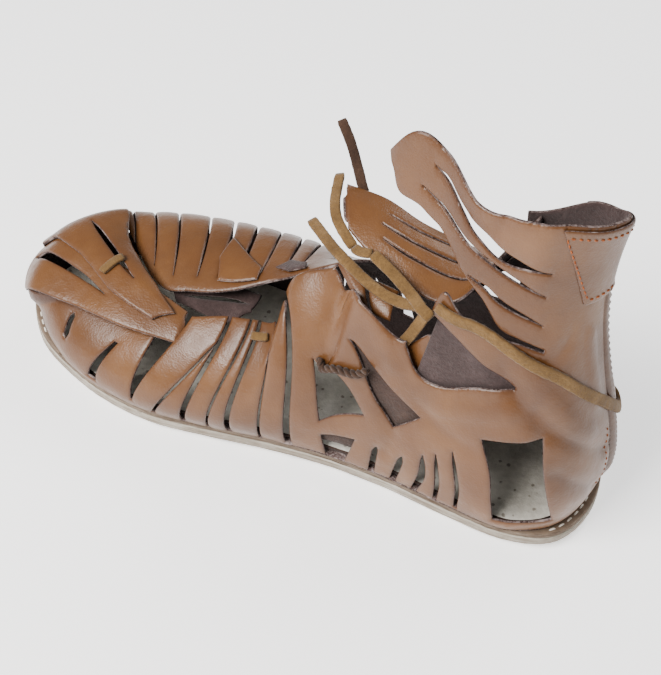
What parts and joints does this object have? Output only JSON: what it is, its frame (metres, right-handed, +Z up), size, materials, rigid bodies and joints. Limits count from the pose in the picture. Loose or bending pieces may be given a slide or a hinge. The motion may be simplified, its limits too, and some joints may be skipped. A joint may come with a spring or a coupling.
{
  "type": "roman caliga sandal",
  "caption": "Open strap sandal with a cut-out leather upper, stitched heel patch, folded toe and ankle flaps, leather thongs and a hobnailed sole.",
  "frame": {"origin": "centre of the underside of the sandal on the floor, without the free laces", "axes": "+X to the heel, -X to the toe, -Y to the inner side of the foot, +Z up"},
  "size_m": [0.2936, 0.1068, 0.1919],
  "materials": {
    "leather": "satin",
    "outsole": "matte",
    "midsole": "matte",
    "insole": "matte",
    "thong": "suede",
    "dark_cord": "suede",
    "iron": "dark satin"
  },
  "bodies": {
    "root": {"outsole": "outsole", "midsole": "midsole", "insole": "insole", "upper": "leather", "heel_patch": "leather", "heel_thong": "thong", "flap_thong": "dark_cord", "toe_thong": "thong", "strap_thong": "thong", "hobnail_01": "iron", "hobnail_02": "iron", "hobnail_03": "iron", "hobnail_04": "iron", "hobnail_05": "iron", "hobnail_06": "iron", "hobnail_07": "iron", "hobnail_08": "iron", "hobnail_09": "iron", "hobnail_10": "iron", "hobnail_11": "iron", "hobnail_12": "iron", "hobnail_13": "iron", "hobnail_14": "iron", "hobnail_15": "iron", "hobnail_16": "iron", "hobnail_17": "iron", "hobnail_18": "iron", "hobnail_19": "iron", "hobnail_20": "iron", "hobnail_21": "iron", "hobnail_22": "iron", "hobnail_23": "iron", "hobnail_24": "iron", "hobnail_25": "iron", "hobnail_26": "iron", "hobnail_27": "iron", "hobnail_28": "iron", "hobnail_29": "iron", "hobnail_30": "iron", "hobnail_31": "iron", "hobnail_32": "iron", "hobnail_33": "iron", "hobnail_34": "iron", "hobnail_35": "iron", "hobnail_36": "iron", "hobnail_37": "iron", "hobnail_38": "iron", "hobnail_39": "iron", "lace_front": "thong", "lace_over": "thong", "lace_branch": "thong", "lace_flap": "thong", "lace_end": "dark_cord"}
  },
  "joints": []
}
